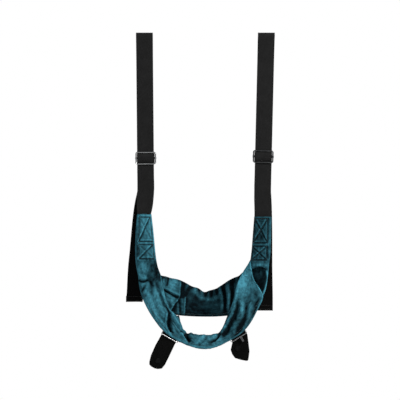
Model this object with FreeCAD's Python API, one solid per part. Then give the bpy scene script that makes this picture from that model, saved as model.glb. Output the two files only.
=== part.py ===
import FreeCAD, Part
import math
import os

from FreeCAD import Placement, Rotation, Vector

# Pet lifting sling: two webbing handle straps with sliders, a velvet sling of two padded bands,
# and two lower straps that end in a metal loop and a webbing tab with a press stud.
# Millimetres. +Z is up, +X is across the sling, and the front of the sling faces -Y.
# Heights here are measured from the top of the handle straps' folds. When a node is saved it is
# raised, so that the origin is on the axis of the bar in those folds, midway between the straps.

os.makedirs("parts", exist_ok=True)

# ---- driving dimensions ----
WEB_W = 38.0          # width of all the webbing
WEB_T = 1.4           # thickness of all the webbing
LAYER_GAP = 0.2       # air between two layers of webbing that lie together
HANG_R = 6.0          # radius of the hanging bar that fits the top folds
HANG_Z = -11.4        # the two runs leave the bar straight down to this height, then draw together
JOIN_Z = -62.0        # below this height the two runs of a handle strap lie together
VELVET_T = 1.25       # thickness of the velvet of the side tabs
TAB_BOTTOM_Z = -520.0
TAIL_HINGE_Z = -376.0
TAIL_BACK_Z = -555.0  # below this height the tail hangs straight down
TAIL_BACK_Y = 23.0
HEM_H = 12.0          # height of the tail's folded hem
THREAD = 0.9          # width of a row of sewing thread
THREAD_T = 0.45       # how far the thread stands out of the cloth

FRAME_W, FRAME_H = 47.0, 29.0    # outside of the strap slider
FRAME_WIRE_R = 1.5
FRAME_CORNER_R = 5.0
SLIDER_BAR_H, SLIDER_BAR_T = 5.0, 2.0
SLIDER_EYE_T = 0.6               # wall of the bar's two eyes, which the frame passes through
SLIDER_CLEAR = 0.25              # between the slider and the faces of the webbing
SLIDER_SIDE_CLEAR = 0.9          # between the slider's bar and each edge of the webbing

LOOP_W, LOOP_PITCH = 44.0, 11.0  # outside width of the lower metal loop, distance between its three bars
LOOP_WIRE_R = 1.1
LEG_W = 32.0                     # width of the strap from the back band to the loop
LEG_TURN = 3.0                   # height above the loop's top bar where that strap turns to the band
TONGUE_L, TONGUE_W, TONGUE_T = 13.0, 4.5, 0.7
TONGUE_X = 4.0                   # the tongue's place along the right loop's bottom bar
TONGUE_FIT = 0.06                # radial clearance of the tongue's eye on the bar
SNAP_R, SNAP_SHANK_R = 7.0, 1.6

BAND_T = 8.0          # thickness of a padded band
BAND_END_T = 5.0      # its thickness where it is sewn into the side tabs
COVER_T = 1.0         # velvet cover and lining of a band
SEAM_U, SEAM_IN = 1.8, 0.4        # how far inside the edge and the shoulder the padding stops
ELASTIC_IN, ELASTIC_OUT = 5.5, 12.0   # the elastic's two edges, measured from the band's inner edge
LOOSE = 0.2           # air round the back band's filling, which the elastic gathers
STATIONS = 25

SIDES = {
    "left": {
        "sign": -1, "top_x": -138.2, "low_x": -134.9, "tab_x": -139.3, "tail_x": -139.0,
        "tab_top_z": -412.0, "slider_z": -285.0, "slider_dx": 0.6,
        "tab_top": (-158.0, -120.5), "tab_bottom": (-156.5, -113.5), "tail_end": (-162.0, -611.0),
        "boxes": [(-150.5, -122.5, -419.0, -474.0), (-150.5, -119.0, -481.0, -514.0)],
        "loop_centre": (-71.5, 40.0, -677.4), "lean": 30.0, "yaw": 12.0, "strap_top": (-75.5, 36.5, -648.5),
        "outline": [(-19, 0), (-19.5, 52), (-17, 77), (-13, 91), (-9, 98), (0, 99), (10, 98), (20, 92),
                    (22, 82), (21, 59), (19, 30), (19, 0)],
        "snap": (3.0, 80.0), "band_snap": 0.30,
    },
    "right": {
        "sign": 1, "top_x": 138.6, "low_x": 129.6, "tab_x": 130.0, "tail_x": 130.4,
        "tab_top_z": -418.0, "slider_z": -281.5, "slider_dx": -0.6,
        "tab_top": (110.5, 149.5), "tab_bottom": (100.0, 146.9), "tail_end": (134.4, -631.0),
        "boxes": [(112.0, 142.0, -422.0, -477.0), (105.0, 139.0, -485.0, -516.0)],
        "loop_centre": (66.5, 40.0, -676.2), "lean": 32.0, "yaw": 12.0, "strap_top": (69.0, 37.0, -647.0),
        "outline": [(-19, 0), (-19, 24), (-27, 29), (-34, 36), (-34, 59), (-12, 77), (3, 61), (11, 43),
                    (19, 26), (19, 0)],
        "snap": (-16.5, 42.0), "band_snap": 0.70,
    },
}

# Edges of the two bands, from the left side tab round to the right one.
# The inner edge is the one nearer to the body opening.
FRONT_INNER = [(-113.5, -5, -520.5), (-102, -8, -549), (-93, -15, -588), (-81, -24, -626), (-61, -30, -660),
               (-39, -34, -678), (3, -36, -684), (33, -34, -677), (49, -30, -642), (62, -24, -610),
               (71, -15, -573), (85, -8, -545), (100, -5, -520.5)]
FRONT_OUTER = [(-156.5, -5, -520.5), (-152, -8, -552), (-146, -20, -590), (-127, -42, -630), (-95, -62, -672),
               (-52, -76, -698), (-1, -82, -711), (46, -76, -697), (91, -60, -668), (120, -38, -620),
               (136, -20, -586), (143, -8, -552), (146.9, -5, -520.5)]
BACK_INNER = [(-113.5, 5, -520.5), (-103, 9, -541), (-85, 24, -555), (-58, 40, -565), (-24, 54, -580),
              (4, 60, -592), (34, 54, -577), (68, 40, -558), (86, 24, -545), (95, 9, -535), (100, 5, -520.5)]
BACK_OUTER = [(-156.5, 5, -520.5), (-151, 6, -554), (-141, 10, -598), (-108, 26, -634), (-58, 42, -646),
              (-4, 48, -648), (45, 42, -646), (90, 28, -634), (124, 12, -601), (142, 6, -556),
              (146.9, 5, -520.5)]

HALF_W = WEB_W / 2
BAR_Z = -(HANG_R + WEB_T)                # the hanging bar's axis
LAYER_Y = (WEB_T + LAYER_GAP) / 2        # middle of each layer of a handle strap
STRAP_FACE = LAYER_Y + WEB_T / 2         # outer face of the two layers together


def save(name, shape):
    """Write one node, after checking that every solid in it is sound."""
    if not shape.isValid() or any(solid.Volume <= 0 for solid in shape.Solids):
        raise ValueError(name + " is not a valid solid")
    raised = shape.copy()
    raised.translate(Vector(0, 0, -BAR_Z))
    raised.exportStep(f"parts/{name}.step")


def placed(shape, place):
    """The shape moved from a sub-part's own frame to its place."""
    moved = shape.copy()
    moved.Placement = place.multiply(moved.Placement)
    return moved


# ---- webbing ----

def run(start, end, width=WEB_W, thickness=WEB_T):
    """A straight run of webbing between two points, with level ends of that width (X) and thickness (Y)."""
    a, b = Vector(*start), Vector(*end)
    x, y = width / 2, thickness / 2
    corners = [Vector(-x, -y, 0), Vector(x, -y, 0), Vector(x, y, 0), Vector(-x, y, 0), Vector(-x, -y, 0)]
    face = Part.Face(Part.makePolygon([a + corner for corner in corners]))
    return face.extrude(b - a)


def fold(centre, inner_r, up, width=WEB_W):
    """Webbing folded half round a bar that lies along X; up is 1 for a fold over it and -1 for one under it."""
    x, y, z = centre
    outer_r = inner_r + WEB_T
    base = Vector(x - width / 2, y, z)
    along = Vector(1, 0, 0)
    ring = Part.makeCylinder(outer_r, width, base, along).cut(Part.makeCylinder(inner_r, width, base, along))
    low = z if up > 0 else z - 2 * outer_r
    half = Part.makeBox(width, 4 * outer_r, 2 * outer_r, Vector(x - width / 2, y - 2 * outer_r, low))
    return ring.common(half)


def fused(solids):
    first, *others = solids
    return first.fuse(others).removeSplitter()


def strap_x(side, z):
    """Where the middle of a handle strap is at height z: straight down to the tail's hinge, then over to the tab."""
    knots = [(0.0, side["top_x"]), (TAIL_HINGE_Z, side["low_x"]), (side["tab_top_z"], side["tab_x"]),
             (TAB_BOTTOM_Z, side["tab_x"])]
    for (z0, x0), (z1, x1) in zip(knots, knots[1:]):
        if z >= z1:
            return x0 + (x1 - x0) * (z - z0) / (z1 - z0)
    return side["tab_x"]


def handle_strap(side):
    """From inside the side tab up the front, over the bar, and down the rear to where the tail starts."""
    tab_z = side["tab_top_z"]
    heights = (BAR_Z, HANG_Z, JOIN_Z, TAIL_HINGE_Z, tab_z, TAB_BOTTOM_Z)
    x0, xh, x1, x2, x3, x4 = (strap_x(side, z) for z in heights)
    fold_y = HANG_R + WEB_T / 2
    return fused([
        fold((x0, 0, BAR_Z), HANG_R, 1),
        run((x0, -fold_y, BAR_Z), (xh, -fold_y, HANG_Z)),
        run((xh, -fold_y, HANG_Z), (x1, -LAYER_Y, JOIN_Z)),
        run((x1, -LAYER_Y, JOIN_Z), (x2, -LAYER_Y, TAIL_HINGE_Z)),
        run((x2, -LAYER_Y, TAIL_HINGE_Z), (x3, -LAYER_Y, tab_z)),
        run((x3, -LAYER_Y, tab_z), (x4, -LAYER_Y, TAB_BOTTOM_Z)),
        run((x0, fold_y, BAR_Z), (xh, fold_y, HANG_Z)),
        run((xh, fold_y, HANG_Z), (x1, LAYER_Y, JOIN_Z)),
        run((x1, LAYER_Y, JOIN_Z), (x2, LAYER_Y, TAIL_HINGE_Z)),
    ])


def tail_x(side, z):
    """Where the middle of a tail is at height z."""
    start_x = side["tail_x"]
    end_x, end_z = side["tail_end"]
    return start_x + (end_x - start_x) * (z - TAIL_HINGE_Z) / (end_z - TAIL_HINGE_Z)


def strap_tail(side):
    """The loose end below the slider, pushed back by the sling, with its end folded into a hem."""
    end_x, end_z = side["tail_end"]
    start = (side["tail_x"], LAYER_Y, TAIL_HINGE_Z - 0.3)
    bend = (tail_x(side, TAIL_BACK_Z), TAIL_BACK_Y, TAIL_BACK_Z)
    end = (end_x, TAIL_BACK_Y, end_z)
    hem_top = (tail_x(side, end_z + HEM_H), TAIL_BACK_Y + WEB_T, end_z + HEM_H)
    hem_bottom = (end_x, TAIL_BACK_Y + WEB_T, end_z)
    return fused([run(start, bend), run(bend, end), run(hem_top, hem_bottom)])


def thread_row(a, b, y, face):
    """A straight row of thread on a face that looks along face (-1 or 1) in Y; a and b are (x, z)."""
    ax, az = a
    bx, bz = b
    length = math.hypot(bx - ax, bz - az)
    low = y if face > 0 else y - THREAD_T
    row = Part.makeBox(length + THREAD, THREAD_T, THREAD, Vector(-THREAD / 2, low, -THREAD / 2))
    row.rotate(Vector(0, 0, 0), Vector(0, 1, 0), -math.degrees(math.atan2(bz - az, bx - ax)))
    row.translate(Vector(ax, 0, az))
    return row


def thread_box(box, y, face, crossed):
    """A sewn rectangle, with a cross in it if crossed."""
    x0, x1, z0, z1 = box
    corners = [(x0, z0), (x1, z0), (x1, z1), (x0, z1)]
    rows = [thread_row(corners[i], corners[(i + 1) % 4], y, face) for i in range(4)]
    if crossed:
        rows += [thread_row(corners[0], corners[2], y, face), thread_row(corners[1], corners[3], y, face)]
    return fused(rows)


# ---- strap slider: a wire frame in front of the webbing and a bar behind it ----

def wire_ring(width, height, wire_r, corner_r):
    """A rectangle of round wire with rounded corners, in the XZ plane."""
    x, z, r = width / 2 - wire_r, height / 2 - wire_r, corner_r
    solids = []
    for s in (-1, 1):
        solids.append(Part.makeCylinder(wire_r, 2 * (x - r), Vector(-(x - r), 0, s * z), Vector(1, 0, 0)))
        solids.append(Part.makeCylinder(wire_r, 2 * (z - r), Vector(s * x, 0, -(z - r)), Vector(0, 0, 1)))
    for turn in range(4):
        corner = Part.makeTorus(r, wire_r, Vector(0, 0, 0), Vector(0, 0, 1), 0, 360, 90)
        corner.rotate(Vector(0, 0, 0), Vector(1, 0, 0), 90)
        corner.rotate(Vector(0, 0, 0), Vector(0, 1, 0), -90 * turn)
        sx = 1 if turn in (0, 3) else -1
        sz = 1 if turn in (0, 1) else -1
        corner.translate(Vector(sx * (x - r), 0, sz * (z - r)))
        solids.append(corner)
    return fused(solids)


def slider():
    """The frame and the bar, with the middle of the webbing at the origin."""
    frame_y = -(STRAP_FACE + SLIDER_CLEAR + FRAME_WIRE_R)
    bar_y = STRAP_FACE + SLIDER_CLEAR + SLIDER_BAR_T / 2
    rail_x = FRAME_W / 2 - FRAME_WIRE_R
    eye_r = FRAME_WIRE_R + SLIDER_EYE_T
    frame = wire_ring(FRAME_W, FRAME_H, FRAME_WIRE_R, FRAME_CORNER_R - FRAME_WIRE_R)
    frame.translate(Vector(0, frame_y, 0))
    lug_x = HALF_W + SLIDER_SIDE_CLEAR
    lug_w = rail_x - FRAME_WIRE_R - lug_x
    half_h = SLIDER_BAR_H / 2
    solids = [Part.makeBox(2 * (lug_x + lug_w), SLIDER_BAR_T, SLIDER_BAR_H,
                           Vector(-lug_x - lug_w, bar_y - SLIDER_BAR_T / 2, -half_h))]
    rails = []
    for s in (-1, 1):
        x = lug_x if s > 0 else -lug_x - lug_w
        reach = bar_y - frame_y + SLIDER_BAR_T / 2
        solids.append(Part.makeBox(lug_w, reach, SLIDER_BAR_H, Vector(x, frame_y, -half_h)))
        base = Vector(s * rail_x, frame_y, -half_h)
        solids.append(Part.makeCylinder(eye_r, SLIDER_BAR_H, base))
        rails.append(Part.makeCylinder(FRAME_WIRE_R, SLIDER_BAR_H, base))
    bar = fused(solids)
    for rail in rails:
        bar = bar.cut(rail)
    return frame, bar


# ---- padded bands ----

def through(points):
    """A smooth curve through points, with one unit of its parameter between them."""
    curve = Part.BSplineCurve()
    vectors = [Vector(*p) for p in points]
    curve.interpolate(Points=vectors, Parameters=[float(i) for i in range(len(points))])
    return curve


class Band:
    """A padded band between two edges, as sections: centre, unit vector to the inner edge, normal, half width."""

    def __init__(self, inner, outer, front):
        last = len(inner) - 1
        inner_edge, outer_edge = through(inner), through(outer)
        self.sections = []
        for k in range(STATIONS):
            t = last * k / (STATIONS - 1)
            i, o = inner_edge.value(t), outer_edge.value(t)
            along = inner_edge.tangent(t)[0] + outer_edge.tangent(t)[0]
            across = (i - o).normalize()
            normal = across.cross(along).normalize()
            if normal.y * front < 0:
                normal = -normal
            share = min(k, STATIONS - 1 - k) / (STATIONS - 1)
            thick = BAND_END_T + (BAND_T - BAND_END_T) * min(1, share * 5)
            self.sections.append(((i + o) / 2, across, normal, (i - o).Length / 2, thick / 2))

    def loft(self, profile, first=0, last=STATIONS - 1):
        """A solid whose section at each station is profile(half width, half thickness), a list of (u, n)."""
        wires = []
        for centre, across, normal, half, thick in self.sections[first:last + 1]:
            points = [centre + across * u + normal * n for u, n in profile(half, thick)]
            wires.append(Part.makePolygon(points + points[:1]))
        return Part.makeLoft(wires, True, True)

    def place(self, share, u, n):
        """A point on the band and its normal; share runs from 0 at the left tab to 1 at the right one."""
        centre, across, normal, half, thick = self.sections[round(share * (STATIONS - 1))]
        return centre + across * (u * half) + normal * (thick + n), normal


def cover_profile(h, t):
    return [(-h, 0), (-0.8 * h, t), (0.8 * h, t), (h, 0), (h - SEAM_U, 0), (0.8 * h - SEAM_IN, t - COVER_T),
            (-0.8 * h + SEAM_IN, t - COVER_T), (-h + SEAM_U, 0)]


def lining_profile(h, t):
    return [(u, -n) for u, n in cover_profile(h, t)]


def padding_profile(h, t, top=None):
    """The soft filling; it stops short of the inner edge at top, where an elastic takes its place."""
    loose = 0 if top is None else LOOSE
    n = t - COVER_T - loose
    shoulder = 0.8 * h - SEAM_IN - loose
    left = [(-shoulder, -n), (-h + SEAM_U + 2 * loose, 0), (-shoulder, n)]
    if top is None:
        return left + [(shoulder, n), (h - SEAM_U, 0), (shoulder, -n)]
    return left + [(h - top, n), (h - top, -n)]


def elastic_profile(h, t):
    return [(h - ELASTIC_OUT, -0.7), (h - ELASTIC_OUT, 0.7), (h - ELASTIC_IN, 0.7), (h - ELASTIC_IN, -0.7)]


def topstitch_profile(inset):
    """A row of thread on the front of a band, that far from its outer edge."""
    def profile(h, t):
        u = -h + max(inset, 0.2 * h + THREAD)
        return [(u - THREAD / 2, t + 0.02), (u + THREAD / 2, t + 0.02), (u + THREAD / 2, t + THREAD_T),
                (u - THREAD / 2, t + THREAD_T)]
    return profile


# ---- lower strap, metal loop, tab and press stud, in the loop's own frame ----
# There X is along the bars, -Z is down the tab, and the origin is the middle of the loop's top bar.

def loop_place(side):
    """The loop's own frame: leaning outwards, and turned a little to follow the back band."""
    lean = Rotation(Vector(0, 1, 0), -side["sign"] * side["lean"])
    yaw = Rotation(Vector(0, 0, 1), -side["sign"] * side["yaw"])
    return Placement(Vector(*side["loop_centre"]), yaw.multiply(lean))


def leg_strap(side):
    """A doubled strap from the hem of the back band round the top bar of the metal loop."""
    place = loop_place(side)
    radius = LOOP_WIRE_R + 0.3
    y = radius + WEB_T / 2
    bend = place.multVec(Vector(0, 0, LEG_TURN))
    top = Vector(*side["strap_top"])
    solids = [fold((0, 0, 0), radius, -1, LEG_W)]
    solids += [run((0, s * y, 0), (0, s * y, LEG_TURN), LEG_W) for s in (-1, 1)]
    lower = placed(fused(solids), place)
    upper = []
    for s in (-1, 1):
        wires = []
        for centre, turn in ((bend, place.Rotation), (top, Rotation(Vector(0, 0, 1), -side["sign"] * side["yaw"]))):
            corners = [(-LEG_W / 2, s * y - WEB_T / 2), (LEG_W / 2, s * y - WEB_T / 2),
                       (LEG_W / 2, s * y + WEB_T / 2), (-LEG_W / 2, s * y + WEB_T / 2)]
            points = [centre + turn.multVec(Vector(a, n, 0)) for a, n in corners]
            wires.append(Part.makePolygon(points + points[:1]))
        upper.append(Part.makeLoft(wires, True, True))
    return fused([lower] + upper)


def metal_loop():
    """Three parallel bars joined by two side rails."""
    height = 2 * LOOP_PITCH + 2 * LOOP_WIRE_R
    ring = wire_ring(LOOP_W, height, LOOP_WIRE_R, 1.5)
    ring.translate(Vector(0, 0, -LOOP_PITCH))
    rail_x = LOOP_W / 2 - LOOP_WIRE_R
    middle = Part.makeCylinder(LOOP_WIRE_R, 2 * rail_x, Vector(-rail_x, 0, -LOOP_PITCH), Vector(1, 0, 0))
    return fused([ring, middle])


def tongue():
    """A small flat tongue whose eye turns on the loop's bottom bar."""
    inner_r = LOOP_WIRE_R + TONGUE_FIT
    outer_r = inner_r + TONGUE_T
    base = Vector(TONGUE_X - TONGUE_W / 2, 0, -2 * LOOP_PITCH)
    along = Vector(1, 0, 0)
    eye = Part.makeCylinder(outer_r, TONGUE_W, base, along)
    plate = Part.makeBox(TONGUE_W, TONGUE_T, TONGUE_L, base + Vector(0, -outer_r, -TONGUE_L))
    return fused([eye, plate]).cut(Part.makeCylinder(inner_r, TONGUE_W, base, along))


TAB_FRONT_Y = 3.0                                  # middle of the tab's front layer, behind the tongue
TAB_REAR_Y = TAB_FRONT_Y + WEB_T + LAYER_GAP       # middle of its rear layer


def leg_tab(side):
    """Webbing folded over the middle bar; both layers hang behind the bottom bar and end in cut corners."""
    radius = LOOP_WIRE_R + 0.2
    y = radius + WEB_T / 2
    wide = 4 * WEB_W
    down = -2 * LOOP_PITCH
    bottom = -max(d for _, d in side["outline"]) - 1
    folded = fused([
        fold((0, 0, -LOOP_PITCH), radius, 1, wide),
        run((0, -y, -LOOP_PITCH), (0, -y, -LOOP_PITCH - 1), wide),
        run((0, -y, -LOOP_PITCH - 1), (0, TAB_FRONT_Y, down + 1), wide),
        run((0, TAB_FRONT_Y, down + 1), (0, TAB_FRONT_Y, bottom), wide),
        run((0, y, -LOOP_PITCH), (0, TAB_REAR_Y, down + 2), wide),
        run((0, TAB_REAR_Y, down + 2), (0, TAB_REAR_Y, bottom), wide),
    ])
    outline = [Vector(a, -20, -d) for a, d in side["outline"]]
    prism = Part.Face(Part.makePolygon(outline + outline[:1])).extrude(Vector(0, 40, 0))
    return folded.common(prism)


def disc(radius, thickness, base, axis):
    """A low dome: a disc with its rim cut back."""
    return Part.makeCone(radius, radius - thickness / 2, thickness, base, axis)


def tab_snap(side):
    """The cap with its shank, the socket behind it, and the hole that the shank needs in the tab."""
    a, d = side["snap"]
    front = Vector(a, TAB_FRONT_Y - WEB_T / 2, -d)
    back = Vector(a, TAB_REAR_Y + WEB_T / 2, -d)
    outward = Vector(0, -1, 0)
    length = back.y - front.y + 2.0
    cap = fused([disc(SNAP_R, 1.4, front, outward),
                 Part.makeCylinder(SNAP_SHANK_R, length, front, Vector(0, 1, 0))])
    socket = disc(SNAP_R - 1.5, 2.4, back, Vector(0, 1, 0))
    socket = socket.cut(Part.makeCylinder(SNAP_SHANK_R, 3.0, back, Vector(0, 1, 0)))
    hole = Part.makeCylinder(SNAP_SHANK_R + 0.05, 10, front - Vector(0, 2, 0), Vector(0, 1, 0))
    return cap, socket, hole


def band_snap(band, share):
    """The stud on the rear of the back band, its washer on the front, and the hole through the band."""
    place, normal = band.place(share, -0.1, 0)
    thick = band.sections[round(share * (STATIONS - 1))][4]
    middle = place - normal * thick
    rear = middle - normal * (thick + 0.3)
    front = middle + normal * (thick + 0.6)
    stud = fused([disc(SNAP_R - 1.5, 1.0, rear, -normal), Part.makeCylinder(2.6, 3.2, rear, -normal),
                  Part.makeCylinder(SNAP_SHANK_R, 2 * thick + 2.0, rear, normal)])
    washer = disc(SNAP_R - 1.5, 1.2, front, normal)
    washer = washer.cut(Part.makeCylinder(SNAP_SHANK_R, 3, front - normal, normal))
    hole = Part.makeCylinder(SNAP_SHANK_R + 0.05, 2 * thick + 6, rear - normal * 2, normal)
    return stud, washer, hole


# ---- the whole sling ----

def save_side(name, side, band_parts, back):
    lean = math.degrees(math.atan2(side["low_x"] - side["top_x"], TAIL_HINGE_Z))
    save(f"{name}_handle_strap", handle_strap(side))
    save(f"{name}_strap_tail", strap_tail(side))
    end_x, end_z = side["tail_end"]
    hem = (end_x - HALF_W + 2, end_x + HALF_W - 2, end_z + HEM_H - 1.5, end_z + 1.5)
    save(f"{name}_tail_hem_stitching", thread_box(hem, TAIL_BACK_Y - WEB_T / 2 - 0.02, -1, False))

    frame, bar = slider()
    slider_x = strap_x(side, side["slider_z"]) + side["slider_dx"]
    place = Placement(Vector(slider_x, 0, side["slider_z"]), Rotation(Vector(0, 1, 0), lean))
    for part, shape in (("slider_frame", frame), ("slider_bar", bar)):
        save(f"{name}_{part}", placed(shape, place))

    (x0, x1), (x2, x3) = side["tab_top"], side["tab_bottom"]
    corners = [(x0, side["tab_top_z"]), (x1, side["tab_top_z"]), (x3, TAB_BOTTOM_Z), (x2, TAB_BOTTOM_Z)]
    front_y = -STRAP_FACE - 0.05 - VELVET_T
    for part, y in (("tab_front", front_y), ("tab_back", -LAYER_GAP / 2 + 0.05)):
        points = [Vector(x, y, z) for x, z in corners]
        panel = Part.Face(Part.makePolygon(points + points[:1])).extrude(Vector(0, VELVET_T, 0))
        save(f"{name}_{part}", panel)
    sewn = [thread_box(box, front_y - 0.02, -1, True) for box in side["boxes"]]
    save(f"{name}_tab_stitching", Part.makeCompound(sewn))

    place = loop_place(side)
    save(f"{name}_leg_strap", leg_strap(side))
    cap, socket, hole = tab_snap(side)
    parts = {"leg_loop": metal_loop(), "leg_tab": leg_tab(side).cut(hole), "snap_cap": cap, "snap_socket": socket}
    if name == "right":
        parts["leg_tongue"] = tongue()
    for part, shape in parts.items():
        save(f"{name}_{part}", placed(shape, place))

    stud, washer, hole = band_snap(back, side["band_snap"])
    save(f"{name}_snap_stud", stud)
    save(f"{name}_snap_washer", washer)
    for part in ("back_band_cover", "back_band_padding", "back_band_lining"):
        band_parts[part] = band_parts[part].cut(hole)


def main():
    front = Band(FRONT_INNER, FRONT_OUTER, -1)
    back = Band(BACK_INNER, BACK_OUTER, -1)
    band_parts = {
        "front_band_cover": front.loft(cover_profile),
        "front_band_lining": front.loft(lining_profile),
        "front_band_padding": front.loft(padding_profile),
        "front_band_stitching": front.loft(topstitch_profile(5)),
        "back_band_cover": back.loft(cover_profile),
        "back_band_lining": back.loft(lining_profile),
        "back_band_padding": back.loft(lambda h, t: padding_profile(h, t, ELASTIC_OUT + 1)),
        "back_band_elastic": back.loft(elastic_profile, 6, STATIONS - 7),
        "back_band_hem_stitching": back.loft(topstitch_profile(6)),
    }
    for name, side in SIDES.items():
        save_side(name, side, band_parts, back)
    for name, shape in band_parts.items():
        save(name, shape)


main()
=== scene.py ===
"""Looks of the pet lifting sling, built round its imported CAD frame.

Shapes are worked out in millimetres and become meshes in metres. +Z is up, and the front of the sling
faces -Y. Heights are measured from the top of the handle straps' folds. Meshes are raised by LIFT, because
the frame's origin is on the axis of the bar in those folds.
"""
import math

import bmesh
import bpy
import numpy as np
from mathutils import Matrix, Vector, noise
from mathutils.bvhtree import BVHTree


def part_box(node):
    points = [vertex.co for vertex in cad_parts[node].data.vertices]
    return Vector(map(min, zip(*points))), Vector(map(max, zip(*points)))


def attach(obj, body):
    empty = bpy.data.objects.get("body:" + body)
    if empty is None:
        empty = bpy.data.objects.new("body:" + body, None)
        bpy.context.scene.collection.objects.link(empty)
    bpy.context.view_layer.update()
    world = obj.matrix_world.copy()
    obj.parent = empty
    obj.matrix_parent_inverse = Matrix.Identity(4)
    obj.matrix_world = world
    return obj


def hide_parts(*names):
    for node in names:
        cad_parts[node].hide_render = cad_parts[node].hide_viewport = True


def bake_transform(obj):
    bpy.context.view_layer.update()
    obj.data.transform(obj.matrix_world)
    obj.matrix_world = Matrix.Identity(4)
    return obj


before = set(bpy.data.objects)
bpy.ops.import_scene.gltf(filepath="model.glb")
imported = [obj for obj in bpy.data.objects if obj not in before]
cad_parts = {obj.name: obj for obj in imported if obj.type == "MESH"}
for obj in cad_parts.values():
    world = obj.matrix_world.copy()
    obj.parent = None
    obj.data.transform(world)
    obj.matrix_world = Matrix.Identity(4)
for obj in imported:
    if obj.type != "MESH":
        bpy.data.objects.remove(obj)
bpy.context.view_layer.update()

MM = 0.001
UP = np.array([0.0, 0.0, 1.0])

# ---- sizes, as in the CAD source ----
WEB_W = 38.0            # width of the webbing
WEB_T = 1.4             # its thickness
LAYER_Y = 0.8           # middle of each of the two layers of a handle strap
HANG_R = 6.0            # radius of the hanging bar
LIFT = HANG_R + WEB_T   # from the bar's axis to the top of the folds
HANG_Z = -11.4          # the two runs leave the bar straight down to this height, then draw together
JOIN_Z = -62.0          # below this height the two layers lie together
LOOP_PITCH = 11.0       # distance between the three bars of the lower metal loop
LOOP_WIRE_R = 1.1
LEG_W = 32.0            # width of the strap from the back band to the loop
LEG_TURN = 3.0          # height above the loop's top bar where that strap turns to the band
TAB_FRONT_Y = 3.0       # middle of the front layer of a lower tab, in the loop's own frame
TAB_REAR_Y = 4.6
HUMP_W = 40.0           # width of the webbing that bulges over a slider's bar, spread by the bend
SNAP_REACH = 10.0       # how far round a press stud its pull on the padding reaches
SIM_FRAMES = 16
STRAP_END_Z = -300.0    # the rear run of a handle strap becomes the tail here, behind the slider
HINGE_Z = -376.0        # height of the line that each tail swings on

# ---- sizes of the detail ----
ROW_STEP = 4.0          # between the rows of points along the webbing
WEB_COLUMNS = 81        # points across the webbing
RIBS = 20               # ribs across the webbing
SELVEDGE = 0.16         # how far its edges stand over the ribs
WARP_PITCH = 0.95       # width of a column of the weave
WEFT_PITCH = 1.9
HEM_HALF_W = 16.5       # half the width of the box sewn on a tail's hem
HEM_ROWS = (2.0, 10.5)  # heights of that box's lower and upper rows over the tail's end
TURN_DROPS = (362, 420, 520)   # how far down a tail each of its tail_turn angles is reached
HUMP_RISE = 2.5         # how far the webbing bulges over a slider's bar
HUMP_HALF = 10.8        # half the length of that bulge
HUMP_Y = 1.25           # how far in front of the bar's middle the bulge begins
STITCH_PITCH = 3.2
STITCH_GAP = 0.9
THREAD_R = 0.42
# Rings of a stitch: share of its length, height over the cloth, share of the thread's radius.
STITCH_RINGS = ((0, -0.35, 0.25), (0.12, 0.12, 0.85), (0.5, 0.34, 1.0), (0.88, 0.12, 0.85), (1, -0.35, 0.25))
RAY_START = 0.3         # rays look for the cloth from this far in front of it (metres)
SHELL_STEP = 1.6        # between the rings of points along a velvet band
SHELL_ROWS = 44         # points across one face of a velvet band

# front_run is (height, x, width, turn in degrees) down the webbing in front. tab_left and tab_right are
# (distance down, distance across) along the two edges of the lower tab, in its loop's own frame.
SIDES = {
    "left": {
        "sign": -1, "top_x": -138.2, "low_x": -134.9, "slider": (-135.1, -285.0),
        "front_run": [
            (-300, -135.6, 38, 0), (-330, -135.3, 38, 0), (-358, -135.2, 38, 0), (-378, -136.3, 37.6, 5),
            (-398, -137.9, 36.2, 14), (-416, -139.4, 31, 19), (-432, -139.5, 29, 19), (-470, -138, 29, 12),
            (-516, -135, 29, 2),
        ],
        "hinge_x": -139.0, "tail_turn": (0, 12, 3),
        "tail": [
            (-135.6, 0.8, -300), (-135.3, 0.8, -330), (-135.1, 0.8, -358), (-139.6, 2.6, -381),
            (-146.6, 7.5, -425), (-152.6, 15.5, -490), (-157.2, 20.5, -535), (-160, 23, -586),
            (-162, 23, -611),
        ],
        "loop_centre": (-71.5, 40.0, -677.4), "lean": 30.0, "yaw": 12.0, "strap_top": (-75.5, 36.5, -648.5),
        "tab_left": [(0, -19), (52, -19.5), (77, -17), (91, -13), (97, -9.5), (98.6, -4)],
        "tab_right": [(0, 19), (30, 19), (59, 21), (80, 22), (91, 20), (96, 13), (98.6, 6)],
    },
    "right": {
        "sign": 1, "top_x": 138.6, "low_x": 129.6, "slider": (131.3, -281.5),
        "front_run": [
            (-300, 131.4, 38, 0), (-330, 130.7, 38, 0), (-358, 130.1, 38, 0), (-384, 130.0, 38, -1),
            (-418, 130.2, 37.6, -3), (-470, 127, 37, -4), (-516, 124, 36, 0),
        ],
        "hinge_x": 130.4, "tail_turn": (0, 0, 0),
        "tail": [
            (131.4, 0.8, -300), (130.7, 0.8, -330), (130.1, 0.8, -358), (131.6, 2.6, -384),
            (133.5, 11, -450), (134, 19, -530), (135, 23, -590), (135.2, 23, -631),
        ],
        "loop_centre": (66.5, 40.0, -676.2), "lean": 32.0, "yaw": 12.0, "strap_top": (69.0, 37.0, -647.0),
        "tab_left": [
            (0, -19), (22, -19), (29, -26), (36, -33), (47, -35), (57, -34), (67, -25), (75, -16),
            (77, -13),
        ],
        "tab_right": [(0, 19), (26, 19), (43, 11.5), (61, 3), (73, -7), (77, -11)],
    },
}


# ---- curves and meshes ----

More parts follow.
